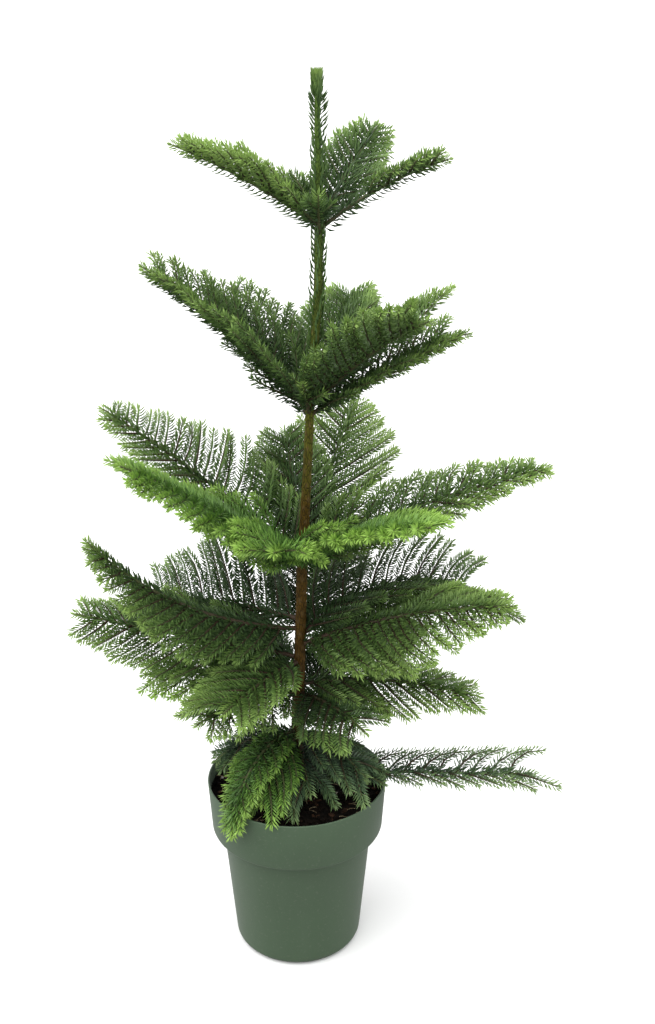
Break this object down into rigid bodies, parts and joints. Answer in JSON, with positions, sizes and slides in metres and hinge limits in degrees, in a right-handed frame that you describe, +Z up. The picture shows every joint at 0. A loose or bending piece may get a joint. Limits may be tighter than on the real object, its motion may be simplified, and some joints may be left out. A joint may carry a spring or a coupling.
{
  "type": "potted norfolk island pine",
  "caption": "Young araucaria conifer with whorls of needled fronds on a slim trunk, growing in a filled round plastic nursery pot.",
  "frame": {"origin": "centre of the pot's flat underside, on the surface that the pot stands on", "axes": "+Z up along the pot's axis, +X to the right and -Y towards the viewer in the usual front view"},
  "size_m": [0.4594, 0.3467, 0.8109],
  "materials": {
    "pot": "matte grey-green moulded plastic",
    "soil": "dark moist peat with bark bits and fibres",
    "bark": "red-brown scarred bark, green towards the tip",
    "foliage": "satin green needles",
    "young_foliage": "satin bright yellow-green needles",
    "shaded_foliage": "satin dark blue-green needles"
  },
  "bodies": {
    "root": {"nursery_pot": "pot", "potting_soil": "soil", "trunk": "bark", "tier1_left_frond": "foliage", "tier1_right_frond": "foliage", "tier1_back_frond": "foliage", "tier1_back_left_frond": "foliage", "tier1_front_frond": "foliage", "tier2_left_frond": "foliage", "tier2_back_left_frond": "foliage", "tier2_back_frond": "foliage", "tier2_right_frond": "foliage", "tier2_front_right_frond": "foliage", "tier2_front_frond": "foliage", "tier3_back_left_frond": "foliage", "tier3_front_left_frond": "young_foliage", "tier3_back_centre_frond": "foliage", "tier3_back_frond": "foliage", "tier3_right_frond": "foliage", "tier3_front_right_frond": "young_foliage", "tier3_front_frond": "young_foliage", "tier4_back_left_frond": "foliage", "tier4_front_left_frond": "foliage", "tier4_low_left_frond": "foliage", "tier4_back_right_frond": "foliage", "tier4_front_right_frond": "foliage", "tier4_back_frond": "foliage", "tier4_front_frond": "foliage", "tier5_left_frond": "young_foliage", "tier5_front_left_frond": "foliage", "tier5_right_frond": "foliage", "tier5_back_right_frond": "foliage", "tier5_front_right_frond": "foliage", "tier5_back_left_frond": "foliage", "tier6_long_right_frond": "shaded_foliage", "tier6_front_left_frond": "young_foliage", "tier6_front_frond": "young_foliage", "tier6_front_middle_frond": "shaded_foliage", "tier6_front_right_frond": "shaded_foliage", "tier6_left_frond": "shaded_foliage", "tier6_back_frond": "shaded_foliage"}
  },
  "joints": []
}
